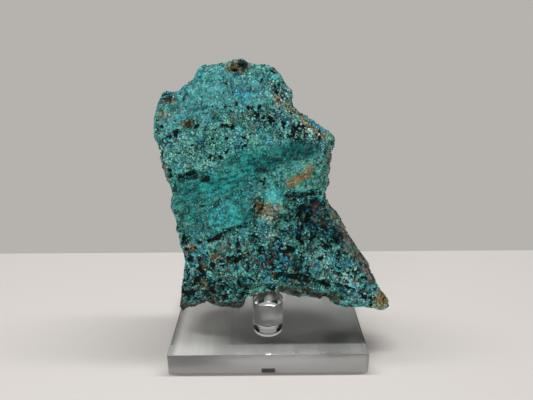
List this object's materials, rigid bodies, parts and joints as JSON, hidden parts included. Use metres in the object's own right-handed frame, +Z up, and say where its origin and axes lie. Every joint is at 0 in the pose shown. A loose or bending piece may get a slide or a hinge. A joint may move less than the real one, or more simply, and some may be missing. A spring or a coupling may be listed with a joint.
{
  "type": "chrysocolla specimen on acrylic stand",
  "caption": "Slab of blue-green chrysocolla crust on grey-brown rock, standing on the round peg of a clear acrylic base.",
  "frame": {"origin": "on the underside of the base, on the axis of the peg, 16 mm behind the base's front edge", "axes": "+Z up from the base along the peg, +X to the right seen from the front, -Y towards the viewer of the crusted face"},
  "size_m": [0.0901, 0.051, 0.1119],
  "materials": {
    "rock": "matte",
    "acrylic": "polished",
    "adhesive": "satin"
  },
  "bodies": {
    "root": {"chrysocolla_rock": "rock", "acrylic_base": "acrylic", "acrylic_peg": "acrylic", "adhesive_dab": "adhesive"}
  },
  "joints": []
}
